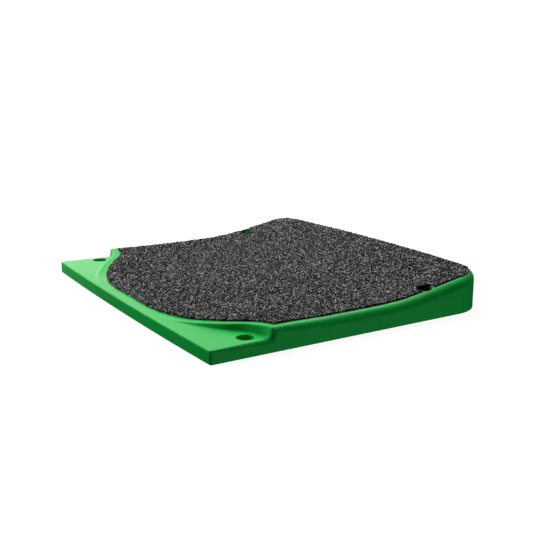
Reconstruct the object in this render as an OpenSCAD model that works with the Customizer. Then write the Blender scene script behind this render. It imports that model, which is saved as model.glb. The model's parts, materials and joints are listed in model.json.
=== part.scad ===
// Screw-down foot pad: a low moulded platform with a dished deck that kicks up at the rear,
// a thin flange along the front, a bonded grit sheet and four sleeved screw seats.
// Millimetres. X runs across the pad, the thin flange edge faces -Y, the underside is z = 0.
// The origin is the centre of the bounding box, at the underside.

/* [Plan] */
// Width across the pad, side wall to side wall
pad_w = 230; // [210:1:250]
// Length at the centre line, flange edge to rear wall
pad_l = 202; // [190:1:215]
// How far the flange edge bows forward at the centre line
front_bow = 2; // [0.5:0.5:4]
// How far the rear wall bows back at the centre line
rear_bow = 7; // [3:0.5:12]
// Plan radius of the two rear corners
rear_corner_r = 26; // [15:1:40]
// Plan radius of the two front corners
front_corner_r = 1.5; // [0.8:0.1:3]

/* [Heights] */
// Thickness of the front flange
flange_t = 7.6; // [6:0.1:9]
// Height of the deck along both sides, halfway between the step and the kick
side_h = 12.3; // [11:0.1:15]
// Height of the deck's two front corners, where the step meets the sides
front_side_h = 12.9; // [11:0.1:15]
// Length over which the sides come down from that height
front_fall_l = 40; // [30:1:60]
// Height of the deck at the rear edge, at the sides
rear_h = 23.9; // [18:0.1:30]
// How much lower the rear edge is at the centre line
rear_dip = 0.6; // [0:0.1:2]
// Distance from the centre line at which the deck starts to rise to the sides
dish_start = 61; // [45:1:75]
// Distance behind the pad's centre at which the kick starts
kick_start = 29; // [15:1:45]
// Length of the kick
kick_l = 64; // [56:1:70]

/* [Edges] */
// Width of the rounded top edge along the sides
side_edge_w = 7; // [5:0.1:7]
// Width of the rounded top edge along the rear
rear_edge_w = 5; // [4:0.1:5]
// Height of the rounded top edge along the sides and the rear
top_edge_h = 5.5; // [3:0.1:6]
// Radius of the front edge, and of the side edges at their front ends
flange_edge_r = 0.8; // [0.4:0.1:1.2]
// Length over which the side edges grow from that radius to their full size
edge_growth_l = 75; // [50:1:90]
// Chamfer around the underside
foot_chamfer = 0.4; // [0.3:0.1:1]

/* [Step] */
// Distance from the flange edge to the step's top line, at the centre line
step_inset = 7.2; // [5:0.1:12]
// Width of the step, from its foot to its top line
step_w = 7.7; // [6:0.1:9]
// Width of the step where it meets the side walls
step_side_w = 5; // [3:0.1:6]
// Distance from the side wall over which the step narrows
step_narrow_l = 18; // [10:1:25]
// How steeply the step rises from its foot before it rounds over
step_sharpness = 50; // [10:1:90]
// Half the straight stretch of the step's top line
step_flat = 22; // [10:1:30]
// Plan radius of the curve that turns the step towards the sides
step_turn_r = 95; // [85:1:98]
// Steepest plan angle of the step
step_angle = 43.5; // [38:0.5:45]
// Length across the pad of the straight slanting stretch
step_run = 2.5; // [0:0.5:4]
// Plan radius of the return curve at each side
step_return_r = 26; // [20:1:30]
// Plan radius of the corner between the step and the side wall
step_corner_r = 3; // [1:0.1:4]

/* [Grit sheet] */
// Thickness of the grit sheet
sheet_t = 1.1; // [0.6:0.1:2]
// Glue line between the sheet and the deck
glue_t = 0.1; // [0.08:0.01:0.2]
// Distance from the side walls to the sheet
sheet_side_inset = 7; // [7:0.1:9]
// Distance from the rear wall to the sheet
sheet_rear_inset = 5; // [5:0.1:8]
// Plan radius of the sheet's two rear corners
sheet_corner_r = 13; // [8:1:25]
// Distance from the step's top line to the sheet
sheet_setback = 0.6; // [0.3:0.1:2]
// Diameter of the sheet's clearance around a rear screw hole
sheet_hole_d = 10.4; // [9.8:0.1:12]

/* [Screws] */
// Distance between the screw holes, side to side
screw_pitch_x = 210; // [204:1:212]
// Distance between the front and the rear screw holes
screw_pitch_y = 124; // [120:1:128]
// Distance from the pad's centre forward to the screw pattern's centre
screw_forward = 11; // [10:1:14]
// Diameter of the pocket that takes a screw's head
head_d = 9.5; // [9:0.1:10.5]
// Height of the seat under a screw's head
seat_h = 4.6; // [3.5:0.1:5]
// Outer diameter of a seat sleeve
sleeve_d = 7.5; // [7:0.1:8]
// Bore of a seat sleeve
sleeve_bore = 5.5; // [5.2:0.1:5.8]

/* [Underside] */
// Number of rows of cored pockets, front to rear
core_rows = 7; // [5:1:8]
// Number of columns of cored pockets across the middle
core_cols = 8; // [8:2:10]
// Thickness of the ribs
rib_t = 3; // [2:0.5:4]
// Thickness of the deck above a pocket
roof_t = 3.6; // [3:0.1:5]
// Thickness of the outer walls
wall_t = 4; // [3.5:0.1:5]
// Distance from the centre line to the long ribs beside the screw holes
rail_x = 92; // [90:1:94]
// Front end of the cored area
core_front = -54; // [-56:1:-50]

/* [Hidden] */
$fn = 64;

half_w = pad_w / 2;
half_l = pad_l / 2;
dish_blend = 12;
kick_blend = 12;
kick_end_blend = 0.08;
screw_x = screw_pitch_x / 2;
screw_ys = [-screw_forward - screw_pitch_y / 2, -screw_forward + screw_pitch_y / 2];
rear_screw_y = screw_ys[1];
cut = 1;

// Rear wall: one large arc, met by the corner arcs
rear_r = (half_w * half_w + rear_bow * rear_bow) / (2 * rear_bow);
rear_cy = half_l - rear_r;
corner_x = half_w - rear_corner_r;
corner_y = rear_cy + sqrt(pow(rear_r - rear_corner_r, 2) - pow(corner_x, 2));
corner_dir = [corner_x, corner_y - rear_cy] / (rear_r - rear_corner_r);

// Step line from the centre out: straight, a wide arc, a slanting run, and a return arc that
// meets the side wall square
turn_end_x = step_flat + step_turn_r * sin(step_angle);
return_start_x = turn_end_x + step_run;
return_end_x = return_start_x + step_return_r * sin(step_angle);
turn_rise = step_turn_r * (1 - cos(step_angle));
run_rise = step_run * tan(step_angle);
return_rise = step_return_r * (1 - cos(step_angle));
step_end_y = -half_l + step_inset + turn_rise + run_rise + return_rise;

// A ramp that is 0 below zero and u above it, with a rounded start of width k
function soft_ramp(u, k) = (u + sqrt(u * u + k * k)) / 2;

// How far a rounded edge, a quarter ellipse w wide and h high, has dropped at a distance d
// from the wall
function edge_drop(d, w, h) = d >= w ? 0 : h * (1 - sqrt(max(0, 1 - pow(1 - max(d, 0) / w, 2))));
function arc_drop(d, r) = edge_drop(d, r, r);

// An S from 0 to 1 as u goes from 0 to 1, level at both ends
function ease(u) = let(v = min(1, max(0, u))) v * v * v * (v * (v * 6 - 15) + 10);

// Plan outline at a distance x from the centre line: the flange edge, and a rear line that lies
// back inside the rear wall and side inside the side walls, with a corner radius r
function front_y(x) =
    -half_l + front_bow * pow(x / half_w, 2) + arc_drop(half_w - abs(x), front_corner_r);
function rear_y(x, side = 0, back = 0, r = rear_corner_r) =
    let(big_r = rear_r - back, cx = half_w - side - r)
    let(cy = rear_cy + sqrt(pow(big_r - r, 2) - cx * cx))
    abs(x) <= cx * big_r / (big_r - r)
        ? rear_cy + sqrt(big_r * big_r - x * x)
        : cy + sqrt(max(0, r * r - pow(abs(x) - cx, 2)));

// Distance inside the side and rear walls
function in_corner(v) = v[0] > 0 && v[1] > 0 && v[0] * corner_dir[1] > v[1] * corner_dir[0];
function wall_inset(x, y) =
    let(v = [abs(x) - corner_x, y - corner_y])
    in_corner(v) ? rear_corner_r - norm(v) : min(half_w - abs(x), rear_r - norm([x, y - rear_cy]));

// Height of the dished deck before its edges are rounded
function kick_part(y) = 1 - soft_ramp(1 - soft_ramp(y - kick_start, kick_blend) / kick_l, kick_end_blend);
function dish_part(x) =
    soft_ramp(abs(x) - dish_start, dish_blend)
    / soft_ramp(half_w - side_edge_w - dish_start, dish_blend);
function side_z(y) = front_side_h + (side_h - front_side_h) * ease((y - step_end_y) / front_fall_l);
function rear_z(x) = rear_h - rear_dip * (1 - pow(x / half_w, 2));
function deck_z(x, y) =
    let(k = kick_part(y))
    flange_t + (side_z(y) - flange_t) * dish_part(x) * (1 - k) + (rear_z(x) - flange_t) * k;

// Plan line of the step's top, and of its foot
function step_rise(x) = x <= step_flat ? 0
    : x <= turn_end_x ? step_turn_r - sqrt(pow(step_turn_r, 2) - pow(x - step_flat, 2))
    : x <= return_start_x ? turn_rise + (x - turn_end_x) * tan(step_angle)
    : turn_rise + run_rise + return_rise - (x >= return_end_x ? 0
        : step_return_r - sqrt(pow(step_return_r, 2) - pow(return_end_x - x, 2)));
function step_top_y(x) =
    -half_l + step_inset + step_rise(abs(x)) + arc_drop(half_w - abs(x), step_corner_r);
function step_slope(x) = step_rise(abs(x) + 0.5) - step_rise(abs(x) - 0.5);
function step_stretch(x) = sqrt(1 + pow(step_slope(x), 2));
function step_span(x) =
    (step_side_w + (step_w - step_side_w) * ease((half_w - abs(x)) / step_narrow_l)) * step_stretch(x);
function step_foot_y(x) = max(step_top_y(x) - step_span(x), front_y(x) + 2 * flange_edge_r);

// Height of the step as a part of the whole, at a distance of u widths behind its foot
function step_part(u) = 1 - pow(1 - pow(min(1, max(0, u)), 3), step_sharpness);

// Size of the rounded top edge: it grows along the sides, and narrows around the rear corners
function edge_growth(y) = min(1, (y + half_l) / edge_growth_l);
function edge_w(y) =
    flange_edge_r + (side_edge_w - flange_edge_r) * edge_growth(y)
    + (rear_edge_w - side_edge_w) * ease((y - corner_y) / rear_corner_r);
function edge_h(y) = flange_edge_r + (top_edge_h - flange_edge_r) * edge_growth(y);

// Height of the finished top surface
function top_z(x, y) =
    let(foot = step_foot_y(x), s = step_part((y - foot) / (step_top_y(x) - foot)))
    flange_t + (deck_z(x, y) - flange_t) * s
    - max(arc_drop(y - front_y(x), flange_edge_r), edge_drop(wall_inset(x, y), edge_w(y), edge_h(y)));

// Stations across the pad, from the centre line out, mirrored to both sides
function mirrored(xs) = concat([for (i = [len(xs) - 1 : -1 : 1]) -xs[i]], xs);
edge_steps = [0, 0.03, 0.12, 0.27, 0.48, 0.74];
inner_x = half_w - side_edge_w;
body_n = 18;
body_xs = mirrored(concat(
    [for (i = [0 : body_n]) inner_x * i / body_n],
    [for (i = [len(edge_steps) - 1 : -1 : 0]) half_w - side_edge_w * edge_steps[i]]
));
sheet_x = half_w - sheet_side_inset;
sheet_n = 16;
sheet_steps = [0, 0.4, 1.3, 3];
sheet_xs = mirrored(concat(
    [for (i = [0 : sheet_n - 1]) (sheet_x - max(sheet_steps)) * i / sheet_n],
    [for (i = [len(sheet_steps) - 1 : -1 : 0]) sheet_x - sheet_steps[i]]
));

// Stations along one line of the pad, front to rear: flange, step, deck, rounded rear edge
lip_step = 0.3;
flange_n = 4;
step_n = 10;
step_crowding = 1.4;
deck_n = 29;
function body_ys(x) =
    let(lip = front_y(x) + flange_edge_r, foot = step_foot_y(x), top = step_top_y(x))
    let(rear = rear_y(x), last = rear - rear_edge_w)
    concat(
        [front_y(x), front_y(x) + lip_step * flange_edge_r],
        [for (i = [0 : flange_n - 1]) lip + (foot - lip) * i / flange_n],
        [for (i = [0 : step_n - 1]) foot + (top - foot) * pow(i / step_n, step_crowding)],
        [for (i = [0 : deck_n]) top + (last - top) * i / deck_n],
        [for (i = [len(edge_steps) - 1 : -1 : 0]) rear - rear_edge_w * edge_steps[i]]
    );
function sheet_front_y(x) = step_top_y(x) + sheet_setback * step_stretch(x);
function sheet_ys(x) =
    let(front = sheet_front_y(x), rear = rear_y(x, sheet_side_inset, sheet_rear_inset, sheet_corner_r))
    [for (i = [0 : deck_n]) front + (rear - front) * i / deck_n];

// The rim of a grid of points, anticlockwise from above
function rim(grid) =
    let(n = len(grid), m = len(grid[0]))
    concat(
        [for (i = [0 : n - 1]) [i, 0]],
        [for (j = [1 : m - 1]) [n - 1, j]],
        [for (i = [n - 2 : -1 : 0]) [i, m - 1]],
        [for (j = [m - 2 : -1 : 1]) [0, j]]
    );

// Triangles over a grid of points whose numbers start at s, facing up
function grid_faces(n, m, s) = [
    for (i = [0 : n - 2], j = [0 : m - 2])
        let(a = s + i * m + j, b = a + 1, c = a + m + 1, d = a + m)
        each [[a, b, c], [a, c, d]]
];

// Triangles of a wall between an upper and a lower ring of point numbers
function wall_faces(upper, lower) = [
    for (i = [0 : len(upper) - 1])
        let(k = (i + 1) % len(upper))
        each [[upper[i], upper[k], lower[k]], [upper[i], lower[k], lower[i]]]
];

// Triangles of the flat underside inside a rim: strips front to rear, and a fan at each side
function foot_faces(n, m, ring) =
    let(size = len(ring), right = n - 1, back = n + m - 2)
    concat(
        [for (i = [1 : n - 3])
            let(a = ring[i], b = ring[i + 1], c = ring[back + right - i - 1], d = ring[back + right - i])
            each [[a, b, c], [a, c, d]]],
        [for (k = [right : back]) [ring[right - 1], ring[k], ring[k + 1]]],
        [for (k = [back + right - 1 : size - 1]) [ring[1], ring[k], ring[(k + 1) % size]]]
    );
function flipped(faces) = [for (f = faces) [f[0], f[2], f[1]]];

// Solid under a grid of top points, with upright walls and a chamfered flat underside
module block_under(grid, chamfer) {
    n = len(grid);
    m = len(grid[0]);
    edge = rim(grid);
    size = len(edge);
    shrink = [1 - chamfer / half_w, 1 - chamfer / half_l];
    wall_points = [for (e = edge) let(p = grid[e[0]][e[1]]) [p[0], p[1], chamfer]];
    foot_points = [for (p = wall_points) [p[0] * shrink[0], p[1] * shrink[1], 0]];
    top_ring = [for (e = edge) e[0] * m + e[1]];
    wall_ring = [for (i = [0 : size - 1]) n * m + i];
    foot_ring = [for (i = wall_ring) i + size];
    polyhedron(
        points = concat([for (row = grid) each row], wall_points, foot_points),
        faces = concat(
            grid_faces(n, m, 0),
            wall_faces(top_ring, wall_ring),
            wall_faces(wall_ring, foot_ring),
            foot_faces(n, m, foot_ring)
        ),
        convexity = 10
    );
}

// Solid between a grid of top points and the same grid lowered by t
module sheet_under(grid, t) {
    n = len(grid);
    m = len(grid[0]);
    top_ring = [for (e = rim(grid)) e[0] * m + e[1]];
    points = [for (row = grid) each row];
    polyhedron(
        points = concat(points, [for (p = points) [p[0], p[1], p[2] - t]]),
        faces = concat(
            grid_faces(n, m, 0),
            flipped(grid_faces(n, m, n * m)),
            wall_faces(top_ring, [for (i = top_ring) i + n * m])
        ),
        convexity = 10
    );
}

module at_screws(ys = screw_ys) {
    for (x = [-screw_x, screw_x], y = ys) translate([x, y, 0]) children();
}

// One cored pocket between two pairs of ribs, open below, with a roof that follows the deck
module core_pocket(x0, x1, y0, y1) {
    near_x = min(abs(x0), abs(x1));
    roof0 = deck_z(near_x, y0) - roof_t;
    roof1 = deck_z(near_x, y1) - roof_t;
    translate([x0, 0, 0]) rotate([90, 0, 90]) linear_extrude(x1 - x0)
        polygon([[y0, -cut], [y1, -cut], [y1, roof1], [y0, roof0]]);
}

// Pockets in columns from x0 to x1, in the rows for which none of the screws is near
core_back = rear_y(rail_x) - wall_t;
row_l = (core_back - core_front - (core_rows - 1) * rib_t) / core_rows;
boss_r = head_d / 2 + rib_t;
function clear_of_screws(y0, y1) =
    len([for (y = screw_ys) if (y > y0 - boss_r && y < y1 + boss_r) y]) == 0;
module core_column(x0, x1, at_side) {
    outer_x = max(abs(x0), abs(x1));
    for (i = [0 : core_rows - 1]) {
        y0 = core_front + i * (row_l + rib_t);
        y1 = min(y0 + row_l, rear_y(outer_x) - wall_t);
        if (y1 - y0 > row_l / 2 && (!at_side || clear_of_screws(y0, y1)))
            core_pocket(x0, x1, y0, y1);
    }
}

// Cored underside: equal columns across the middle, and one column along each side
module core() {
    mid_w = 2 * rail_x - rib_t;
    col_w = (mid_w - (core_cols - 1) * rib_t) / core_cols;
    for (i = [0 : core_cols - 1]) {
        x0 = -mid_w / 2 + i * (col_w + rib_t);
        core_column(x0, x0 + col_w, false);
    }
    core_column(rail_x + rib_t / 2, half_w - wall_t, true);
    core_column(wall_t - half_w, -rail_x - rib_t / 2, true);
}

// The moulded pad: flange, step, dished deck, rounded edges and cored underside
module pad_body() {
    color("forestgreen") difference() {
        block_under([for (x = body_xs) [for (y = body_ys(x)) [x, y, top_z(x, y)]]], foot_chamfer);
        core();
        at_screws() translate([0, 0, -cut]) cylinder(d = sleeve_d, h = seat_h + 2 * cut);
        at_screws() translate([0, 0, seat_h]) cylinder(d = head_d, h = rear_h);
    }
}

// The grit sheet bonded to the deck, notched around the rear screw holes
module grit_sheet() {
    lift = glue_t + sheet_t;
    color("dimgray") difference() {
        sheet_under([for (x = sheet_xs) [for (y = sheet_ys(x)) [x, y, deck_z(x, y) + lift]]], sheet_t);
        at_screws([rear_screw_y]) cylinder(d = sheet_hole_d, h = 2 * rear_h);
    }
}

// Four steel sleeves that carry the screws' clamping load past the plastic
module seat_sleeves() {
    color("silver") at_screws() difference() {
        cylinder(d = sleeve_d, h = seat_h);
        translate([0, 0, -cut]) cylinder(d = sleeve_bore, h = seat_h + 2 * cut);
    }
}

pad_body();
grit_sheet();
seat_sleeves();
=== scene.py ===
"""Looks for the foot pad: a glossy moulded body, a bonded grit sheet and four steel seat sleeves.

Metres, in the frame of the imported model. The body and the sheet are rebuilt as fine meshes from
the same plan lines and heights as the design, with sizes taken from the frame where it has them.
"""

import json
import math

import bpy
import numpy as np
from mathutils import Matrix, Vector
from mathutils.geometry import delaunay_2d_cdt


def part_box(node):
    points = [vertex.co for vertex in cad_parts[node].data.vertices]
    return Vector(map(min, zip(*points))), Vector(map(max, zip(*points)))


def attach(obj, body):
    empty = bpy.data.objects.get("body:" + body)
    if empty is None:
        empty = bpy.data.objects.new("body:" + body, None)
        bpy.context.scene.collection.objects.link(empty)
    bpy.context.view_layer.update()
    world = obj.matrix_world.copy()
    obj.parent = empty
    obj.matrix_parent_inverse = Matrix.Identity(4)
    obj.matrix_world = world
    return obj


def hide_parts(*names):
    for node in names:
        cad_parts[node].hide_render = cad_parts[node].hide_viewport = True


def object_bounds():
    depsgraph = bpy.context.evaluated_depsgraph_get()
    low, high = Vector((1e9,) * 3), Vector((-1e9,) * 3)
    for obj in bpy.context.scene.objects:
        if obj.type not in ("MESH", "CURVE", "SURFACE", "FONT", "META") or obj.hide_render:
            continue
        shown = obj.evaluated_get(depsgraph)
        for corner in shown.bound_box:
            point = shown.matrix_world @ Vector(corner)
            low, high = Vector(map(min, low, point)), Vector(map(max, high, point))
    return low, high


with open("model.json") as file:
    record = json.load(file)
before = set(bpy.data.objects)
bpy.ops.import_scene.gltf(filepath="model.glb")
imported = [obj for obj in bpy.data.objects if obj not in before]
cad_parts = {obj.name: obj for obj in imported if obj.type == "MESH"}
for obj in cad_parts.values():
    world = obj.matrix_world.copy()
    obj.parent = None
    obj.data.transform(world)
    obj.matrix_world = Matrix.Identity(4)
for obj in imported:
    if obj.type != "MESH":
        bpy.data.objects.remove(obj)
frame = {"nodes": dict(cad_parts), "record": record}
cad_lo, cad_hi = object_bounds()
body_lo, body_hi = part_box("pad_body")
sheet_lo, sheet_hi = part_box("grit_sheet")
sleeve_lo, sleeve_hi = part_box("seat_sleeves")
MM = 0.001

# Plan: the half sizes and the insets of the sheet come from the frame
HALF_W = body_hi.x
HALF_L = body_hi.y
FRONT_BOW = 2 * MM
REAR_BOW = 7 * MM
REAR_CORNER_R = 26 * MM
FRONT_CORNER_R = 1.5 * MM
SHEET_SIDE_INSET = HALF_W - sheet_hi.x
SHEET_REAR_INSET = HALF_L - sheet_hi.y
SHEET_SETBACK = 0.6 * MM
SHEET_CORNER_R = 13 * MM

# Heights
FLANGE_T = 7.6 * MM
SIDE_H = 12.3 * MM
FRONT_SIDE_H = 12.9 * MM
FRONT_FALL_L = 40 * MM
REAR_H = 23.9 * MM
REAR_DIP = 0.6 * MM
DISH_START = 61 * MM
DISH_BLEND = 12 * MM
KICK_START = 29 * MM
KICK_L = 64 * MM
KICK_BLEND = 12 * MM
KICK_END_BLEND = 0.08

# Edges
SIDE_EDGE_W = 7 * MM
REAR_EDGE_W = 5 * MM
TOP_EDGE_H = 5.5 * MM
FLANGE_EDGE_R = 0.8 * MM
EDGE_GROWTH_L = 75 * MM
FOOT_EDGE_R = 0.4 * MM
FOOT_WALL_ROWS = (1.4 * MM, 1.0 * MM)
HOLE_EDGE_R = 0.35 * MM
HOLE_MARGIN = 0.9 * MM
MITRE_POWER = 5
WEAR_W = 1.1 * MM

# Step
STEP_INSET = 7.2 * MM
STEP_W = 7.7 * MM
STEP_SIDE_W = 5 * MM
STEP_NARROW_L = 18 * MM
STEP_SHARPNESS = 50
STEP_FLAT = 22 * MM
STEP_TURN_R = 95 * MM
STEP_ANGLE = math.radians(43.5)
STEP_RUN = 2.5 * MM
STEP_RETURN_R = 26 * MM
STEP_CORNER_R = 3 * MM

# Screw seats: their places, the seat's height and the sleeve's radius come from the frame
pattern = next(m for m in frame["record"]["mounts"] if m["name"] == "screw_pattern")
SCREW_X = pattern["dims"]["spacing_x_mm"] * MM / 2
SCREW_YS = [pattern["pos_m"][1] + s * pattern["dims"]["spacing_y_mm"] * MM / 2 for s in (-1, 1)]
SEAT_H = sleeve_hi.z
SLEEVE_R = sleeve_hi.x - SCREW_X
HEAD_R = 4.75 * MM
NOTCH_R = 5.2 * MM
SEAT_FILLET_R = 0.3 * MM
SLEEVE_GAP = 0.02 * MM
SLEEVE_LEAD = 0.1 * MM

# Underside
CORE_ROWS = 7
CORE_COLS = 8
RIB_T = 3 * MM
ROOF_T = 3.6 * MM
WALL_T = 4 * MM
RAIL_X = 92 * MM
CORE_FRONT = -54 * MM
CORE_CORNER_R = 1.8 * MM
CORE_LEAST_R = 0.4 * MM
CORE_DRAFT = 0.35 * MM
CORE_ROOF_R = 1.2 * MM
CORE_LIP = 0.15 * MM
CORE_LIP_H = 0.25 * MM

# Grit
GRAIN = 0.62 * MM
GRAIN_RISE = 0.5 * MM
GRAIN_LIMITS = (-1.6, 2.2)
GRAIN_SWAY = 0.16 * MM
GRAIN_SINK = 0.25 * MM
GLUE_T = 0.1 * MM
SHEET_T = 1.1 * MM

# How finely the meshes are cut
BODY_COLUMNS = 84
EDGE_COLUMNS = 18
CORNER_ROWS = 14
FRONT_ROWS = np.array([0, 0.06, 0.23, 0.49, 0.8, 1.1, 1.5]) * MM
FLANGE_ROWS = 12
STEP_ROWS = 31
DECK_ROWS = 80
SHEET_HALF_COLUMNS = 164
SHEET_ROWS = 268
UNDERSIDE_STRIDE = 7
CDT_SCALE = 1000.0

# Rear wall: one large arc
REAR_R = (HALF_W**2 + REAR_BOW**2) / (2 * REAR_BOW)
REAR_CY = HALF_L - REAR_R

rng = np.random.default_rng(11)


class RearLine:
    """A line that lies back inside the rear wall and side inside the side walls.

    It turns from the one into the other with radius r."""

    def __init__(self, side, back, r):
        self.side, self.big_r, self.r = HALF_W - side, REAR_R - back, r
        self.x = self.side - r
        self.y = REAR_CY + math.sqrt((self.big_r - r) ** 2 - self.x**2)
        self.end = math.atan2(self.y - REAR_CY, self.x)

    def on_rear(self, x, b):
        """The rear line's y at a distance x from the centre line, moved inwards by b."""
        return REAR_CY + math.sqrt((self.big_r - b) ** 2 - x * x)

    def square_start(self, x):
        """Where the rear rows of a column start: the corner centre, and its arc further in."""
        return self.y if x >= self.x else self.on_rear(x, self.r)

    def at(self, x):
        x = abs(x)
        if x <= self.big_r * math.cos(self.end):
            return self.on_rear(x, 0)
        return self.y + math.sqrt(max(0, self.r**2 - (x - self.x) ** 2))

    def corner(self, a, b):
        """Plan point at distances a inside the side and b inside the rear line, in the corner.

        The corner square is made of arcs. Each arc is shared between the two walls: the side
        takes half of the corner arc, and the rear takes the other half and its own large arc."""
        centre, r = (self.x, self.y), self.r
        if a <= b:
            share = 0.5 * (r - b) / max(r - a, 1e-9)
            return on_arc(centre, r - a, self.end * share)
        big_r = self.big_r - b
        first = math.acos(self.x / big_r)
        on_big = big_r * (first - self.end)
        along = (r - a) / (r - b) * (on_big + (r - b) * self.end / 2)
        if along < on_big:
            return on_arc((0, REAR_CY), big_r, first - along / big_r)
        return on_arc(centre, r - b, self.end - (along - on_big) / (r - b))


def on_arc(centre, r, turn):
    return centre[0] + r * math.cos(turn), centre[1] + r * math.sin(turn)


WALL = RearLine(0, 0, REAR_CORNER_R)
SHEET_EDGE = RearLine(SHEET_SIDE_INSET, SHEET_REAR_INSET, SHEET_CORNER_R)


# ---------------------------------------------------------------- shape of the pad


def soft_ramp(u, k):
    """0 below zero and u above it, with a rounded start of width k."""
    return (u + np.sqrt(u * u + k * k)) / 2


def edge_drop(d, w, h):
    """How far a rounded edge has dropped, at a distance d inside the wall.

    The edge is a quarter of an ellipse, w wide and h high."""
    return h * (1 - np.sqrt(1 - np.clip(1 - np.maximum(d, 0) / w, 0, 1) ** 2))


def ease(u):
    v = np.clip(u, 0, 1)
    return v**3 * (v * (v * 6 - 15) + 10)


def front_line(x):
    return -HALF_L + FRONT_BOW * (x / HALF_W) ** 2


def step_rise(x):
    """How far the step's top line has moved back, at a distance x from the centre line."""
    x = np.abs(x)
    turn_end = STEP_FLAT + STEP_TURN_R * math.sin(STEP_ANGLE)
    run_end = turn_end + STEP_RUN
    return_end = run_end + STEP_RETURN_R * math.sin(STEP_ANGLE)
    turn = STEP_TURN_R - np.sqrt(np.clip(STEP_TURN_R**2 - (x - STEP_FLAT) ** 2, 0, None))
    turn_rise = STEP_TURN_R * (1 - math.cos(STEP_ANGLE))
    run = turn_rise + (x - turn_end) * math.tan(STEP_ANGLE)
    run_rise = turn_rise + STEP_RUN * math.tan(STEP_ANGLE)
    left = np.clip(return_end - x, 0, None)
    back = STEP_RETURN_R - np.sqrt(np.clip(STEP_RETURN_R**2 - left**2, 0, None))
    back = run_rise + STEP_RETURN_R * (1 - math.cos(STEP_ANGLE)) - back
    return np.where(
        x <= STEP_FLAT, 0, np.where(x <= turn_end, turn, np.where(x <= run_end, run, back))
    )


def step_top_y(x):
    corner = edge_drop(HALF_W - np.abs(x), STEP_CORNER_R, STEP_CORNER_R)
    return -HALF_L + STEP_INSET + step_rise(x) + corner


def step_stretch(x):
    """How much longer a distance across the step is when it is measured along Y."""
    half = 0.5 * MM
    slope = (step_rise(np.abs(x) + half) - step_rise(np.abs(x) - half)) / (2 * half)
    return np.sqrt(1 + slope**2)


def step_span(x):
    wide = ease((HALF_W - np.abs(x)) / STEP_NARROW_L)
    return (STEP_SIDE_W + (STEP_W - STEP_SIDE_W) * wide) * step_stretch(x)


def step_foot_y(x):
    return np.maximum(step_top_y(x) - step_span(x), front_line(x) + 2 * FLANGE_EDGE_R)


def step_part(u):
    """Height of the step as a part of the whole, u widths behind its foot."""
    return 1 - (1 - np.clip(u, 0, 1) ** 3) ** STEP_SHARPNESS


def behind_step(y):
    """Distance behind the step's top line where it meets the sides."""
    return y - float(-HALF_L + STEP_INSET + step_rise(HALF_W))


def edge_growth(y):
    return np.clip((y + HALF_L) / EDGE_GROWTH_L, 0, 1)


def edge_w(y):
    """Width of the rounded top edge: it grows along the sides and narrows around the rear."""
    grown = FLANGE_EDGE_R + (SIDE_EDGE_W - FLANGE_EDGE_R) * edge_growth(y)
    return grown + (REAR_EDGE_W - SIDE_EDGE_W) * ease((y - WALL.y) / REAR_CORNER_R)


def edge_h(y):
    return FLANGE_EDGE_R + (TOP_EDGE_H - FLANGE_EDGE_R) * edge_growth(y)


def kick_part(y):
    ramp = soft_ramp(y - KICK_START, KICK_BLEND) / KICK_L
    return 1 - soft_ramp(1 - ramp, KICK_END_BLEND)


def deck_z(x, y):
    """Height of the dished deck before its edges are rounded."""
    dish = soft_ramp(np.abs(x) - DISH_START, DISH_BLEND)
    dish = dish / soft_ramp(HALF_W - SIDE_EDGE_W - DISH_START, DISH_BLEND)
    kick = kick_part(y)
    side = FRONT_SIDE_H + (SIDE_H - FRONT_SIDE_H) * ease(behind_step(y) / FRONT_FALL_L)
    rear = REAR_H - REAR_DIP * (1 - (x / HALF_W) ** 2)
    return FLANGE_T + (side - FLANGE_T) * dish * (1 - kick) + (rear - FLANGE_T) * kick


def wall_inset(x, y):
    """Distance inside the side and rear walls."""
    vx, vy = np.abs(x) - WALL.x, y - WALL.y
    to_wall = np.minimum(HALF_W - np.abs(x), REAR_R - np.hypot(x, y - REAR_CY))
    turn = np.arctan2(vy, vx)
    in_corner = (turn > 0) & (turn < WALL.end)
    return np.where(in_corner, REAR_CORNER_R - np.hypot(vx, vy), to_wall)


def front_inset(x, y):
    """Distance inside the front edge and the side walls, with the front corners rounded."""
    vx = np.abs(x) - (HALF_W - FRONT_CORNER_R)
    vy = front_line(x) + FRONT_CORNER_R - y
    to_wall = np.minimum(HALF_W - np.abs(x), y - front_line(x))
    return np.where((vx > 0) & (vy > 0), FRONT_CORNER_R - np.hypot(vx, vy), to_wall)


def top_z(x, y):
    """Height of the finished top: flange, step and deck, less what the rounded edges take off."""
    foot = step_foot_y(x)
    risen = step_part((y - foot) / (step_top_y(x) - foot))
    front_drop = edge_drop(front_inset(x, y), FLANGE_EDGE_R, FLANGE_EDGE_R)
    side_drop = edge_drop(wall_inset(x, y), edge_w(y), edge_h(y))
    both = front_drop**MITRE_POWER + side_drop**MITRE_POWER
    return FLANGE_T + (deck_z(x, y) - FLANGE_T) * risen - both ** (1 / MITRE_POWER)


# ---------------------------------------------------------------- grids over the plan


def quarter_steps(r, n):
    """Distances from the wall at which a quarter round of radius r turns by equal angles."""
    return r * (1 - np.cos(np.linspace(0, math.pi / 2, n + 1)))


def front_corner(a, b):
    """Plan point at distances a from the side wall and b from the front edge, in the corner."""
    r = FRONT_CORNER_R
    centre = HALF_W - r, float(front_line(HALF_W - r)) + r
    share = 0.5 * (r - max(a, b)) / max(r - min(a, b), 1e-9)
    quarter = math.pi / 2
    return on_arc(centre, r - min(a, b), -quarter * share if a <= b else quarter * (share - 1))


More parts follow.
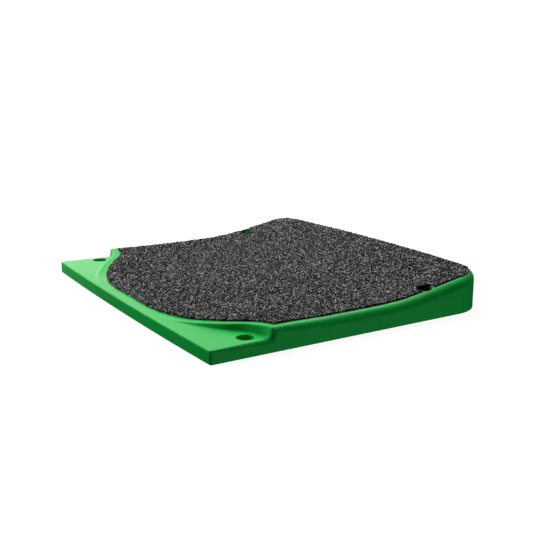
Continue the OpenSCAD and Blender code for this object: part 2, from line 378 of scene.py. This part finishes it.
def plan_grid(line, columns, front_rows, middle, rear_rows):
    """Plan points (x, y) of the right half of a piece, one row of the arrays per column.

    columns run from the centre line to the piece's side and rear_rows from the corner square to
    its rear line. Both are distances inside the RearLine. front_rows are distances behind the
    front edge, and middle(x, start, end) gives the rows between."""
    xs, ys = [], []
    for a in columns:
        x = line.side - a
        points = []
        for b in front_rows:
            straight = a >= FRONT_CORNER_R
            points.append((x, float(front_line(x)) + b) if straight else front_corner(a, b))
        start = points[-1][1] if points else None
        points += [(x, y) for y in middle(x, start, line.square_start(x))]
        for b in rear_rows:
            points.append((x, line.on_rear(x, b)) if x < line.x else line.corner(a, b))
        xs.append([point[0] for point in points])
        ys.append([point[1] for point in points])
    return np.array(xs), np.array(ys)


def both_sides(x, y):
    """The grid of the right half, mirrored to make the whole: columns from left to right."""
    return np.concatenate([-x[:0:-1], x]), np.concatenate([y[:0:-1], y])


class Mesh:
    """Vertices and faces collected by number, with a wear and a painted-shade value per vertex."""

    def __init__(self):
        self.points, self.faces = [], []
        self.layers = {"wear": [], "painted_shade": []}

    def add(self, xyz, wear=0.0, painted_shade=0.0):
        xyz = np.asarray(xyz, float).reshape(-1, 3)
        first = len(self.points)
        self.points.extend(xyz.tolist())
        self.layers["wear"].extend(np.broadcast_to(wear, len(xyz)).tolist())
        self.layers["painted_shade"].extend(np.broadcast_to(painted_shade, len(xyz)).tolist())
        return np.arange(first, first + len(xyz))

    def strip(self, ring_a, ring_b):
        """Quads between two rings of vertex numbers of the same length."""
        n = len(ring_a)
        for i in range(n):
            k = (i + 1) % n
            self.faces.append((ring_a[i], ring_a[k], ring_b[k], ring_b[i]))

    def grow(self, last, xy, z, wear=0.0, painted_shade=0.0):
        """Adds a ring at height z and the strip between it and the ring last."""
        fresh = self.add(np.column_stack([xy, np.broadcast_to(z, len(xy))]), wear, painted_shade)
        self.strip(fresh, last)
        return fresh

    def make(self, name):
        used = np.unique([v for f in self.faces for v in f])
        number = np.full(len(self.points), -1)
        number[used] = np.arange(len(used))
        data = bpy.data.meshes.new(name)
        points = np.array(self.points)[used]
        data.from_pydata(points.tolist(), [], [tuple(int(number[v]) for v in f) for f in self.faces])
        for layer, values in self.layers.items():
            data.attributes.new(layer, "FLOAT", "POINT")
            data.attributes[layer].data.foreach_set("value", np.array(values)[used].astype("f4"))
        data.update()
        made = bpy.data.objects.new(name, data)
        bpy.context.scene.collection.objects.link(made)
        return made


def rim_of(numbers):
    """The rim of a grid of vertex numbers, anticlockwise from above when columns run along +X."""
    return np.concatenate(
        [numbers[:, 0], numbers[-1, 1:], numbers[-2::-1, -1], numbers[0, -2:0:-1]]
    )


def inward(ring_xy, d):
    """The points of a closed anticlockwise ring, moved inwards by d."""
    ahead = np.roll(ring_xy, -1, 0) - np.roll(ring_xy, 1, 0)
    ahead /= np.linalg.norm(ahead, axis=1, keepdims=True)
    return ring_xy + d * np.stack([-ahead[:, 1], ahead[:, 0]], 1)


# ---------------------------------------------------------------- moulded body


def body_rows(x, y0, y1):
    """Rows of one column of the body, between the flange's edge and the rear corner square."""
    foot, top = float(step_foot_y(x)), float(step_top_y(x))
    foot = max(foot, y0 + 0.1 * MM)
    flange = np.linspace(y0, foot, FLANGE_ROWS)[1:]
    step = foot + (top - foot) * np.linspace(0, 1, STEP_ROWS)[1:] ** 1.2
    deck = np.linspace(top, y1, DECK_ROWS)[1:-1]
    return [*flange, *step, *deck]


def screw_places():
    return [(x, y) for y in SCREW_YS for x in (-SCREW_X, SCREW_X)]


def wear_at(x, y):
    """1 on the flange's outer edge and falling off within about a millimetre."""
    foot = step_foot_y(x)
    on_flange = 1 - step_part((y - foot) / (step_top_y(x) - foot))
    return on_flange * np.exp(-((front_inset(x, y) / WEAR_W) ** 2))


def cut_opening(mesh, numbers, keep, place):
    """Takes the quads around a screw's place out of the top grid. Returns the opening's rim."""
    points = np.array(mesh.points)[numbers]
    away = np.hypot(points[..., 0] - place[0], points[..., 1] - place[1])
    near = away < HEAD_R + HOLE_EDGE_R + HOLE_MARGIN
    cols = np.flatnonzero(near.any(1))
    rows = np.flatnonzero(near.any(0))
    keep[cols[0] - 1 : cols[-1] + 1, rows[0] - 1 : rows[-1] + 1] = False
    return rim_of(numbers[cols[0] - 1 : cols[-1] + 2, rows[0] - 1 : rows[-1] + 2])


def screw_seat(mesh, rim, place):
    """Adds a screw's head pocket and bore inside rim. Returns the bore's ring on the underside.

    The rear pockets get painted shade: dark below, and above on the side that the sheet shades."""
    offset = np.array(mesh.points)[rim][:, :2] - np.array(place)
    reach = np.hypot(offset[:, 0], offset[:, 1])
    way = offset / reach[:, None]
    at_rear = place[1] > 0
    # Painted shade: rear pockets go near black below, and above on the side towards the sheet.
    upper_painted_shade = np.clip(0.7 - 1.4 * way[:, 0] * np.sign(place[0]), 0, 1) if at_rear else 0.0
    lower_painted_shade = 1.0 if at_rear else 0.0

    def ring(last, radius, z=None, drop=0.0, painted_shade=upper_painted_shade):
        xy = np.array(place) + way * np.broadcast_to(radius, len(way))[:, None]
        if z is None:
            z = top_z(xy[:, 0], xy[:, 1]) - drop
        fresh = mesh.add(np.column_stack([xy, np.broadcast_to(z, len(way))]), 0.0, painted_shade)
        mesh.strip(last, fresh)
        return fresh

    edge = HEAD_R + HOLE_EDGE_R
    last = rim
    for part in (0.7, 0.4, 0.15):
        last = ring(last, edge + (reach - edge) * part)
    for turn in np.linspace(math.pi / 2, 0, 5):
        out = HOLE_EDGE_R * (1 - math.cos(turn))
        last = ring(last, HEAD_R + out, drop=HOLE_EDGE_R * (1 - math.sin(turn)))
    last = ring(last, HEAD_R, drop=HOLE_EDGE_R + 0.5 * MM)
    for radius, z in (
        (HEAD_R, SEAT_H + 2.5 * SEAT_FILLET_R),
        (HEAD_R, SEAT_H + SEAT_FILLET_R),
        (HEAD_R - 0.3 * SEAT_FILLET_R, SEAT_H + 0.3 * SEAT_FILLET_R),
        (HEAD_R - SEAT_FILLET_R, SEAT_H),
        (SLEEVE_R + SLEEVE_LEAD, SEAT_H),
        (SLEEVE_R + SLEEVE_GAP, SEAT_H - SLEEVE_LEAD),
        (SLEEVE_R + SLEEVE_GAP, 1.5 * SLEEVE_LEAD),
        (SLEEVE_R + SLEEVE_LEAD, 0),
    ):
        last = ring(last, radius, z=z, painted_shade=lower_painted_shade)
    return last


def core_boxes():
    """Plan boxes (x0, x1, y0, y1) of the cored pockets on the underside."""
    core_back = WALL.at(RAIL_X) - WALL_T
    row_l = (core_back - CORE_FRONT - (CORE_ROWS - 1) * RIB_T) / CORE_ROWS
    middle = 2 * RAIL_X - RIB_T
    col_w = (middle - (CORE_COLS - 1) * RIB_T) / CORE_COLS
    columns = [-middle / 2 + i * (col_w + RIB_T) for i in range(CORE_COLS)]
    columns = [(x, x + col_w, False) for x in columns]
    side = (RAIL_X + RIB_T / 2, HALF_W - WALL_T)
    columns += [(side[0], side[1], True), (-side[1], -side[0], True)]
    boss_r = HEAD_R + RIB_T
    boxes = []
    for x0, x1, at_side in columns:
        wall = WALL.at(max(abs(x0), abs(x1)))
        for i in range(CORE_ROWS):
            y0 = CORE_FRONT + i * (row_l + RIB_T)
            y1 = min(y0 + row_l, wall - WALL_T)
            by_screw = any(y0 - boss_r < y < y1 + boss_r for y in SCREW_YS)
            if y1 - y0 > row_l / 2 and not (at_side and by_screw):
                boxes.append((x0, x1, y0, y1))
    return boxes


def rounded_box(x0, x1, y0, y1, r, n=4):
    """Anticlockwise outline of a box with round corners."""
    turns = np.linspace(0, math.pi / 2, n + 1)
    outline = []
    for cx, cy, start in (
        (x1 - r, y0 + r, -math.pi / 2),
        (x1 - r, y1 - r, 0),
        (x0 + r, y1 - r, math.pi / 2),
        (x0 + r, y0 + r, math.pi),
    ):
        outline += [(cx + r * math.cos(start + t), cy + r * math.sin(start + t)) for t in turns]
    return np.array(outline)


def core_pocket(mesh, box):
    """One cored pocket: drafted walls, a rounded roof edge and a roof that follows the deck."""
    x0, x1, y0, y1 = box
    mouth = rounded_box(x0, x1, y0, y1, CORE_CORNER_R)
    centre = mouth.mean(0)

    def roof(xy):
        return deck_z(xy[:, 0], xy[:, 1]) - ROOF_T

    def moved_in(d):
        return rounded_box(x0 + d, x1 - d, y0 + d, y1 - d, max(CORE_CORNER_R - d, CORE_LEAST_R))

    first = mesh.add(np.column_stack([mouth, np.zeros(len(mouth))]), 0.5)
    last = mesh.grow(first, moved_in(CORE_LIP), CORE_LIP_H, wear=0.3)
    wall = moved_in(CORE_DRAFT)
    last = mesh.grow(last, wall, roof(wall) - CORE_ROOF_R)
    for turn in np.linspace(0, math.pi / 2, 4)[1:]:
        xy = moved_in(CORE_DRAFT + CORE_ROOF_R * (1 - math.cos(turn)))
        last = mesh.grow(last, xy, roof(xy) - CORE_ROOF_R * (1 - math.sin(turn)))
    for part in (0.66, 0.33):
        xy = centre + (moved_in(CORE_DRAFT + CORE_ROOF_R) - centre) * part
        last = mesh.grow(last, xy, roof(xy))
    hub = mesh.add([*centre, roof(centre[None])[0]])[0]
    for i in range(len(last)):
        mesh.faces.append((last[i], hub, last[(i + 1) % len(last)]))
    return first


def plan_triangles(mesh, rings, inner=()):
    """Triangles over the plan of closed rings of vertices and the vertices inner between them.

    Returns the vertex numbers in one list, and each triangle as places in that list."""
    numbers = np.concatenate([*rings, inner]).astype(int)
    edges, first = [], 0
    for ring in rings:
        n = len(ring)
        edges += [(first + i, first + (i + 1) % n) for i in range(n)]
        first += n
    plan = np.array(mesh.points)[numbers][:, :2] * CDT_SCALE
    coords = [Vector((x, y)) for x, y in plan]
    _, _, faces, origin, _, _ = delaunay_2d_cdt(coords, edges, [], 1, 1e-6)
    return numbers, [[origin[v][0] for v in face] for face in faces]


def flat_fill(mesh, outer, holes):
    """Fills the flat face inside ring outer and outside the rings holes, facing down."""
    numbers, triangles = plan_triangles(mesh, [outer, *holes])
    hole_of = np.full(len(numbers), -1)
    first = len(outer)
    for k, ring in enumerate(holes):
        hole_of[first : first + len(ring)] = k
        first += len(ring)
    for corners in triangles:
        owners = {hole_of[i] for i in corners}
        inside_hole = len(owners) == 1 and owners != {-1}
        if not inside_hole:
            mesh.faces.append(tuple(numbers[i] for i in reversed(corners)))


def moulded_body():
    mesh = Mesh()
    edge = quarter_steps(SIDE_EDGE_W, EDGE_COLUMNS)
    columns = [*np.linspace(HALF_W, SIDE_EDGE_W, BODY_COLUMNS)[:-1], *edge[::-1]]
    square = np.linspace(REAR_CORNER_R, SIDE_EDGE_W, CORNER_ROWS)[1:-1]
    x, y = both_sides(*plan_grid(WALL, columns, FRONT_ROWS, body_rows, [*square, *edge[::-1]]))
    z = top_z(x, y)
    n, m = x.shape
    numbers = mesh.add(np.stack([x, y, z], -1), wear_at(x, y).ravel()).reshape(n, m)
    keep = np.ones((n - 1, m - 1), bool)
    bores = []
    for place in screw_places():
        opening = cut_opening(mesh, numbers, keep, place)
        bores.append(screw_seat(mesh, opening, place))
    for i, j in zip(*np.nonzero(keep)):
        mesh.faces.append(
            (numbers[i, j], numbers[i + 1, j], numbers[i + 1, j + 1], numbers[i, j + 1])
        )
    foot = walls(mesh, rim_of(numbers))
    pockets = [core_pocket(mesh, box) for box in core_boxes()]
    flat_fill(mesh, foot, bores + pockets)
    return smooth(mesh.make("moulded_body"), sharp_angle=38)


def walls(mesh, rim):
    """Upright walls below the top's rim, and the rounded edge at their foot, with painted shadow."""
    top = np.array(mesh.points)[rim]
    last = rim
    for level in (top[:, 2] - 0.35 * MM, *FOOT_WALL_ROWS):
        last = mesh.grow(last, top[:, :2], level)
    # The foot's rounded edge carries painted shade: a dark contact shadow line along the bottom.
    for turn in np.linspace(0, math.pi / 2, 5):
        xy = inward(top[:, :2], FOOT_EDGE_R * (1 - math.cos(turn)))
        last = mesh.grow(last, xy, FOOT_EDGE_R * (1 - math.sin(turn)), painted_shade=0.7)
    return last


def smooth(made, sharp_angle):
    """Smooth shading, apart from edges sharper than an angle in degrees."""
    for polygon in made.data.polygons:
        polygon.use_smooth = True
    made.data.set_sharp_from_angle(angle=math.radians(sharp_angle))
    return made


# ---------------------------------------------------------------- grit sheet


def sheet_front(x):
    return float(step_top_y(x) + SHEET_SETBACK * step_stretch(x))


def smoothed(field):
    """Each value averaged with its eight neighbours, the nearer ones with more weight."""
    padded = np.pad(field, 1, mode="edge")
    return (
        4 * padded[1:-1, 1:-1]
        + 2 * (padded[:-2, 1:-1] + padded[2:, 1:-1] + padded[1:-1, :-2] + padded[1:-1, 2:])
        + padded[:-2, :-2] + padded[2:, 2:] + padded[:-2, 2:] + padded[2:, :-2]
    ) / 16


def notched(x, y, keep):
    """Cuts the rear screws' notches: moves the nearest points onto the notch's edge."""
    for place in screw_places()[2:]:
        dx, dy = x - place[0], y - place[1]
        away = np.hypot(dx, dy)
        inside = away < NOTCH_R
        touched = np.zeros_like(inside)
        for si in (-1, 0, 1):
            for sj in (-1, 0, 1):
                touched |= np.roll(np.roll(~inside, si, 0), sj, 1)
        move = inside & touched
        grow = np.where(move, NOTCH_R / np.maximum(away, 1e-9), 1)
        x, y = place[0] + dx * grow, place[1] + dy * grow
        corner = inside[:-1, :-1] & inside[1:, :-1] & inside[:-1, 1:] & inside[1:, 1:]
        keep &= ~corner
    return x, y


def sheet_grid():
    """Plan points of the sheet, and which of the quads between them are left by the notches."""
    r = SHEET_CORNER_R
    columns = np.linspace(SHEET_EDGE.side, 0, SHEET_HALF_COLUMNS + 1)
    square = np.linspace(r, 0, round(SHEET_ROWS * r / (1.75 * HALF_L)) + 1)[1:]
    body = SHEET_ROWS - len(square)

    def middle(x, _, y1):
        return list(np.linspace(sheet_front(x), y1, body + 1))

    x, y = both_sides(*plan_grid(SHEET_EDGE, columns, [], middle, square))
    keep = np.ones((x.shape[0] - 1, x.shape[1] - 1), bool)
    x, y = notched(x, y, keep)
    return x, y, keep


def grit_sheet():
    """The sheet: a top that rises and sways grain by grain, a plain underside and a cut edge."""
    mesh = Mesh()
    x, y, keep = sheet_grid()
    z = deck_z(x, y) + GLUE_T + SHEET_T
    rise = rng.normal(size=x.shape)
    rise = rise + 0.5 * smoothed(rise)
    rise = np.clip(rise / rise.std(), *GRAIN_LIMITS) * GRAIN_RISE / 2
    sway_x = smoothed(rng.normal(size=x.shape)) * GRAIN_SWAY
    sway_y = smoothed(rng.normal(size=x.shape)) * GRAIN_SWAY
    grains = np.stack([x + sway_x, y + sway_y, z - GRAIN_SINK + rise], -1)
    top = mesh.add(grains).reshape(x.shape)
    under = mesh.add(np.stack([x, y, z - SHEET_T + 0.02 * MM], -1)).reshape(x.shape)
    loop = top_and_edge(mesh, top, under, keep)
    underside(mesh, under, keep, loop)
    return smooth(mesh.make("grit_surface"), sharp_angle=60)


def top_and_edge(mesh, top, under, keep):
    """Adds the top's quads and the cut edge below them. Returns the edge as grid places."""
    sides = {}  # those that only one quad has: a shared side comes up again the other way
    for i, j in zip(*np.nonzero(keep)):
        quad = [(i, j), (i + 1, j), (i + 1, j + 1), (i, j + 1)]
        mesh.faces.append(tuple(top[c] for c in quad))
        for a, b in zip(quad, quad[1:] + quad[:1]):
            if (b, a) in sides:
                del sides[(b, a)]
            else:
                sides[(a, b)] = True
    for a, b in sides:
        mesh.faces.append((top[b], top[a], under[a], under[b]))
    after = dict(sides.keys())
    start = next(iter(after))
    loop = [start]
    while after[loop[-1]] != start:
        loop.append(after[loop[-1]])
    return loop


def underside(mesh, under, keep, loop):
    """A coarser underside inside the cut edge."""
    n, m = under.shape
    reach = 4
    first = UNDERSIDE_STRIDE - 1
    inner = [
        under[i, j]
        for i in range(first, n - first, UNDERSIDE_STRIDE)
        for j in range(first, m - first, UNDERSIDE_STRIDE)
        if keep[i - reach : i + reach, j - reach : j + reach].all()
    ]
    numbers, triangles = plan_triangles(mesh, [[under[c] for c in loop]], inner)
    for corners in triangles:
        mesh.faces.append(tuple(numbers[i] for i in reversed(corners)))


# ---------------------------------------------------------------- materials


class Nodes:
    """A new node material with short calls for adding and linking nodes."""

    def __init__(self, name):
        self.material = bpy.data.materials.new(name)
        self.material.use_nodes = True
        self.tree = self.material.node_tree
        self.tree.nodes.clear()
        self.output = self.tree.nodes.new("ShaderNodeOutputMaterial")
        self.shader = self.add("BsdfPrincipled")
        self.link(self.shader, "BSDF", self.output, "Surface")
        self.place = self.add("TexCoord")

    def add(self, kind, **inputs):
        made = self.tree.nodes.new("ShaderNode" + kind)
        for key, value in inputs.items():
            self.set(made, key, value)
        return made

    def set(self, node, key, value):
        node.inputs[key.replace("_", " ")].default_value = value

    def link(self, source, out, target, into):
        self.tree.links.new(source.outputs[out], target.inputs[into])

    def noise(self, scale, detail):
        made = self.add("TexNoise", Scale=scale, Detail=detail)
        self.link(self.place, "Object", made, "Vector")
        return made

    def cells(self, scale):
        made = self.add("TexVoronoi", Scale=scale)
        self.link(self.place, "Object", made, "Vector")
        return made

    def layer(self, name):
        """One of the mesh's own values."""
        made = self.add("Attribute")
        made.attribute_name = name
        return made

    def ramp(self, source, out, stops):
        """A colour ramp over (position, colour) stops."""
        made = self.tree.nodes.new("ShaderNodeValToRGB")
        line = made.color_ramp
        while len(line.elements) < len(stops):
            line.elements.new(0.5)
        for element, (at, colour) in zip(line.elements, stops):
            element.position = at
            element.color = (*colour, 1)
        self.link(source, out, made, "Fac")
        return made

    def spread(self, source, out, low, high, from_low=0.3, from_high=0.7):
        """A number from low to high as source goes from from_low to from_high."""
        made = self.tree.nodes.new("ShaderNodeMapRange")
        for key, value in zip(
            ("From Min", "From Max", "To Min", "To Max"), (from_low, from_high, low, high)
        ):
            made.inputs[key].default_value = value
        self.link(source, out, made, "Value")
        return made

    def maths(self, operation, first, second):
        """A Math node. Each operand is a number or (node, output)."""
        made = self.tree.nodes.new("ShaderNodeMath")
        made.operation = operation
        for slot, operand in enumerate((first, second)):
            if isinstance(operand, tuple):
                self.tree.links.new(operand[0].outputs[operand[1]], made.inputs[slot])
            else:
                made.inputs[slot].default_value = operand
        return made

    def mix(self, share, first, second, blend="MIX"):
        """A colour mix. Each part is a (node, output), or else a number or a colour."""
        made = self.tree.nodes.new("ShaderNodeMix")
        made.data_type = "RGBA"
        made.blend_type = blend
        if isinstance(share, tuple):
            self.tree.links.new(share[0].outputs[share[1]], made.inputs[0])
        else:
            made.inputs[0].default_value = share
        for slot, part in ((6, first), (7, second)):
            if hasattr(part[0], "outputs"):
                self.tree.links.new(part[0].outputs[part[1]], made.inputs[slot])
            else:
                made.inputs[slot].default_value = (*part, 1)
        return made

    def bump(self, source, out, strength, distance, after=None):
        made = self.add("Bump", Strength=strength, Distance=distance)
        self.link(source, out, made, "Height")
        if after is not None:
            self.link(after, "Normal", made, "Normal")
        return made


def plastic_material():
    """Glossy moulded plastic: faint pigment clouds, fine peel, scuffed edges, painted shade in
    recesses.
    """
    n = Nodes("green_moulding")
    cloud = n.noise(24, detail=3)
    grain = n.noise(520, detail=3)
    peel = n.noise(700, detail=2)
    specks = n.cells(330)
    base = n.ramp(
        cloud, "Fac", [(0.3, (0.0014, 0.455, 0.060)), (0.7, (0.0022, 0.515, 0.072))]
    )
    dot = n.spread(specks, "Distance", 0.45, 0.0, 0.04, 0.12)
    base = n.mix((dot, "Result"), (base, "Color"), (0.001, 0.20, 0.025))
    wear = n.layer("wear")
    scuffs = n.spread(grain, "Fac", 0.0, 1.0, 0.35, 0.75)
    worn = n.maths("MULTIPLY", (wear, "Fac"), (scuffs, "Result"))
    worn = n.maths("MULTIPLY", (worn, "Value"), 0.1)
    colour = n.mix((worn, "Value"), (base, 2), (0.04, 0.62, 0.13))
    # Painted shade: the mesh's shade value turns the rear pockets and the foot edge near black, and
    # rougher.
    painted_shade = n.layer("painted_shade")
    shade_share = n.maths("POWER", (painted_shade, "Fac"), 1.5)
    colour = n.mix((shade_share, "Value"), (colour, 2), (0.002, 0.006, 0.002))
    n.link(colour, 2, n.shader, "Base Color")
    gloss = n.spread(grain, "Fac", 0.2, 0.27)
    rough = n.maths("ADD", (gloss, "Result"), (worn, "Value"))
    rough = n.maths("ADD", (rough, "Value"), (painted_shade, "Fac"))
    n.link(rough, "Value", n.shader, "Roughness")
    wavy = n.bump(cloud, "Fac", 0.05, 0.0006)
    fine = n.bump(peel, "Fac", 0.03, 0.00004, after=wavy)
    n.link(fine, "Normal", n.shader, "Normal")
    n.set(n.shader, "IOR", 1.5)
    return n.material


def grit_material():
    """Coarse black mineral grit: own tone, facets and gloss per grain; the brightest are painted
    glints.
    """
    n = Nodes("black_grit")
    grains = n.cells(1 / GRAIN)
    fine = n.cells(2.3 / GRAIN)
    cloud = n.noise(40, detail=3)
    split = n.add("SeparateColor")
    n.link(grains, "Color", split, "Color")
    # Tone per grain, mostly near black; the top stops are painted glints, bright grains standing in
    # for sparkle.
    shade = n.ramp(
        split, "Red",
        [
            (0.0, (0.001, 0.001, 0.001)),
            (0.54, (0.004, 0.004, 0.004)),
            (0.70, (0.05, 0.05, 0.05)),
            (0.87, (0.24, 0.24, 0.24)),
            (1.0, (0.70, 0.70, 0.70)),
        ],
    )
    gap = n.ramp(grains, "Distance", [(0.4, (1, 1, 1)), (0.85, (0.2, 0.2, 0.2))])
    dark = n.mix(1.0, (shade, "Color"), (gap, "Color"), blend="MULTIPLY")
    n.link(dark, 2, n.shader, "Base Color")
    gloss = n.spread(split, "Green", 0.35, 0.9, 0.0, 1.0)
    n.link(gloss, "Result", n.shader, "Roughness")
    n.set(n.shader, "Specular IOR Level", 0.1)
    coarse = n.bump(grains, "Distance", 0.7, -0.0004)
    sharp = n.bump(fine, "Distance", 0.5, -0.00015, after=coarse)
    soft = n.bump(cloud, "Fac", 0.1, 0.0004, after=sharp)
    n.link(soft, "Normal", n.shader, "Normal")
    return n.material


def steel_material():
    """Turned and plated steel: fine tool rings and a slightly uneven tarnish."""
    n = Nodes("plated_steel")
    stretch = n.add("Mapping", Scale=(1, 1, 14))
    n.link(n.place, "Object", stretch, "Vector")
    rings = n.add("TexNoise", Scale=900)
    n.link(stretch, "Vector", rings, "Vector")
    cloud = n.noise(300, detail=4)
    colour = n.ramp(cloud, "Fac", [(0.3, (0.42, 0.42, 0.41)), (0.7, (0.66, 0.66, 0.64))])
    n.link(colour, "Color", n.shader, "Base Color")
    n.set(n.shader, "Metallic", 1.0)
    rough = n.spread(cloud, "Fac", 0.22, 0.42)
    n.link(rough, "Result", n.shader, "Roughness")
    turned = n.bump(rings, "Fac", 0.3, 0.00008)
    n.link(turned, "Normal", n.shader, "Normal")
    return n.material


# ---------------------------------------------------------------- studio

FLOOR_R = 6
BACKDROP_R = 6.2

VIEW_AZIMUTH = 58.25
VIEW_ELEVATION = 13.54
VIEW_DISTANCE = 0.62052
VIEW_LENS = 56.23
VIEW_AIM = Vector((-0.05028, 0.03618, 0))

# The room is brightest towards one direction. Glow at angles in degrees from it
BRIGHT_AZIMUTH = 262
BRIGHT_ELEVATION = 8
ROOM_GLOW = [
    (75, (0.04, 0.04, 0.04)),
    (36, (0.28, 0.28, 0.27)),
    (20, (0.58, 0.57, 0.53)),
    (8, (1.10, 1.07, 1.00)),
]

# Below the horizon the room fades to BELOW_GLOW, over these heights of the direction
FADE_END = -0.3
FADE_START = -0.02
BELOW_GLOW = 0.05


def floor_material():
    """A lit white sweep: it glows almost to white, and a faint shadow shows under the pad."""
    n = Nodes("pale_floor")
    cloud = n.noise(3, detail=2)
    colour = n.ramp(cloud, "Fac", [(0.3, (0.11, 0.11, 0.11)), (0.7, (0.12, 0.12, 0.12))])
    n.link(colour, "Color", n.shader, "Base Color")
    n.set(n.shader, "Roughness", 1.0)
    n.set(n.shader, "Specular IOR Level", 0.0)
    away = n.tree.nodes.new("ShaderNodeVectorMath")
    away.operation = "LENGTH"
    n.link(n.place, "Object", away, "Vector")
    glow = n.spread(away, "Value", 0.93, 1.1, 0.25, 0.6)
    n.link(glow, "Result", n.shader, "Emission Strength")
    n.set(n.shader, "Emission Color", (1, 1, 1, 1))
    return n.material


def camera_only(obj):
    """The backdrop is seen by the camera and takes no part in lighting the pad."""
    obj.visible_diffuse = False
    obj.visible_glossy = False
    obj.visible_transmission = False
    obj.visible_shadow = False


def studio():
    """Pale floor and backdrop."""
    bpy.ops.mesh.primitive_circle_add(vertices=96, radius=FLOOR_R, fill_type="NGON")
    floor = bpy.context.object
    floor.name = "floor"
    floor.location.z = cad_lo.z
    floor.data.materials.append(floor_material())
    camera_only(floor)
    bpy.ops.mesh.primitive_uv_sphere_add(segments=48, ring_count=24, radius=BACKDROP_R)
    backdrop = bpy.context.object
    backdrop.name = "backdrop"
    white = bpy.data.materials.new("white_backdrop")
    white.use_nodes = True
    white.node_tree.nodes.clear()
    glow = white.node_tree.nodes.new("ShaderNodeEmission")
    glow.inputs["Strength"].default_value = 1.05
    out = white.node_tree.nodes.new("ShaderNodeOutputMaterial")
    white.node_tree.links.new(glow.outputs[0], out.inputs["Surface"])
    backdrop.data.materials.append(white)
    camera_only(backdrop)


def direction(azimuth, elevation):
    """Unit vector towards a place at that azimuth (0 is -Y, 90 is +X) and elevation, in degrees."""
    a, e = math.radians(azimuth), math.radians(elevation)
    return Vector((math.sin(a) * math.cos(e), -math.cos(a) * math.cos(e), math.sin(e)))


def soft_box(name, azimuth, elevation, distance, size, radiance, seen):
    """An area light that faces the pad. seen says whether it is only shaded or only mirrored."""
    width, height = size
    light = bpy.data.lights.new(name, "AREA")
    light.shape = "RECTANGLE"
    light.size = width
    light.size_y = height
    light.energy = radiance * math.pi * width * height
    made = bpy.data.objects.new(name, light)
    way = direction(azimuth, elevation)
    made.location = way * distance
    made.rotation_euler = (-way).to_track_quat("-Z", "Y").to_euler()
    made.visible_glossy = seen == "mirrored"
    made.visible_diffuse = seen == "shaded"
    bpy.context.scene.collection.objects.link(made)


def room_colour(tree, place):
    """The room's colour by the angle from its brightest direction."""
    facing = tree.nodes.new("ShaderNodeVectorMath")
    facing.operation = "DOT_PRODUCT"
    facing.inputs[1].default_value = direction(BRIGHT_AZIMUTH, BRIGHT_ELEVATION)
    tree.links.new(place, facing.inputs[0])
    ramp = tree.nodes.new("ShaderNodeValToRGB")
    line = ramp.color_ramp
    line.elements.new(0.5)
    line.elements.new(0.6)
    for element, (degrees, colour) in zip(line.elements, ROOM_GLOW):
        element.position = (1 + math.cos(math.radians(degrees))) / 2
        element.color = (*colour, 1)
    half = tree.nodes.new("ShaderNodeMapRange")
    half.inputs["From Min"].default_value = -1
    tree.links.new(facing.outputs["Value"], half.inputs["Value"])
    tree.links.new(half.outputs["Result"], ramp.inputs["Fac"])
    return ramp.outputs["Color"]


def horizon_fade(tree, place):
    """The room's strength: 1 above the horizon, fading below it."""
    split = tree.nodes.new("ShaderNodeSeparateXYZ")
    tree.links.new(place, split.inputs[0])
    above = tree.nodes.new("ShaderNodeMapRange")
    above.inputs["From Min"].default_value = FADE_END
    above.inputs["From Max"].default_value = FADE_START
    above.inputs["To Min"].default_value = BELOW_GLOW
    tree.links.new(split.outputs["Z"], above.inputs["Value"])
    return above.outputs["Result"]


def room_light():
    """World: bright low down on the left behind the pad, dim elsewhere and nearly dark below."""
    world = bpy.data.worlds.new("room")
    world.use_nodes = True
    tree = world.node_tree
    tree.nodes.clear()
    out = tree.nodes.new("ShaderNodeOutputWorld")
    glow = tree.nodes.new("ShaderNodeBackground")
    place = tree.nodes.new("ShaderNodeTexCoord").outputs["Generated"]
    tree.links.new(room_colour(tree, place), glow.inputs["Color"])
    tree.links.new(horizon_fade(tree, place), glow.inputs["Strength"])
    tree.links.new(glow.outputs[0], out.inputs["Surface"])
    bpy.context.scene.world = world


def camera():
    data = bpy.data.cameras.new("camera")
    data.lens = VIEW_LENS
    data.sensor_width = 36
    data.clip_start = 0.01
    made = bpy.data.objects.new("camera", data)
    way = direction(VIEW_AZIMUTH, VIEW_ELEVATION)
    made.location = VIEW_AIM + way * VIEW_DISTANCE
    made.rotation_euler = (-way).to_track_quat("-Z", "Y").to_euler()
    bpy.context.scene.collection.objects.link(made)
    bpy.context.scene.camera = made


# ---------------------------------------------------------------- assembly

camera()
studio()
room_light()
soft_box("key", 248, 48, distance=1.3, size=(1.5, 1.1), radiance=5.1, seen="shaded")
soft_box("fill_front", -58, 20, distance=1.0, size=(0.8, 0.5), radiance=7.2, seen="shaded")
soft_box("floor_bounce", 112, -24, distance=0.7, size=(0.9, 0.5), radiance=1.0, seen="shaded")
soft_box("strip", 238, 38, distance=1.2, size=(1.3, 0.12), radiance=2.8, seen="mirrored")
soft_box("low_rim", 228, -12, distance=1.2, size=(0.8, 0.3), radiance=1.0, seen="mirrored")
bpy.context.scene.view_settings.view_transform = "Standard"

body = moulded_body()
body.data.materials.append(plastic_material())
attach(body, "root")
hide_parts("pad_body")

sheet = grit_sheet()
sheet.data.materials.append(grit_material())
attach(sheet, "root")
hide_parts("grit_sheet")

sleeves = frame["nodes"]["seat_sleeves"]
sleeves.data.materials.clear()
sleeves.data.materials.append(steel_material())
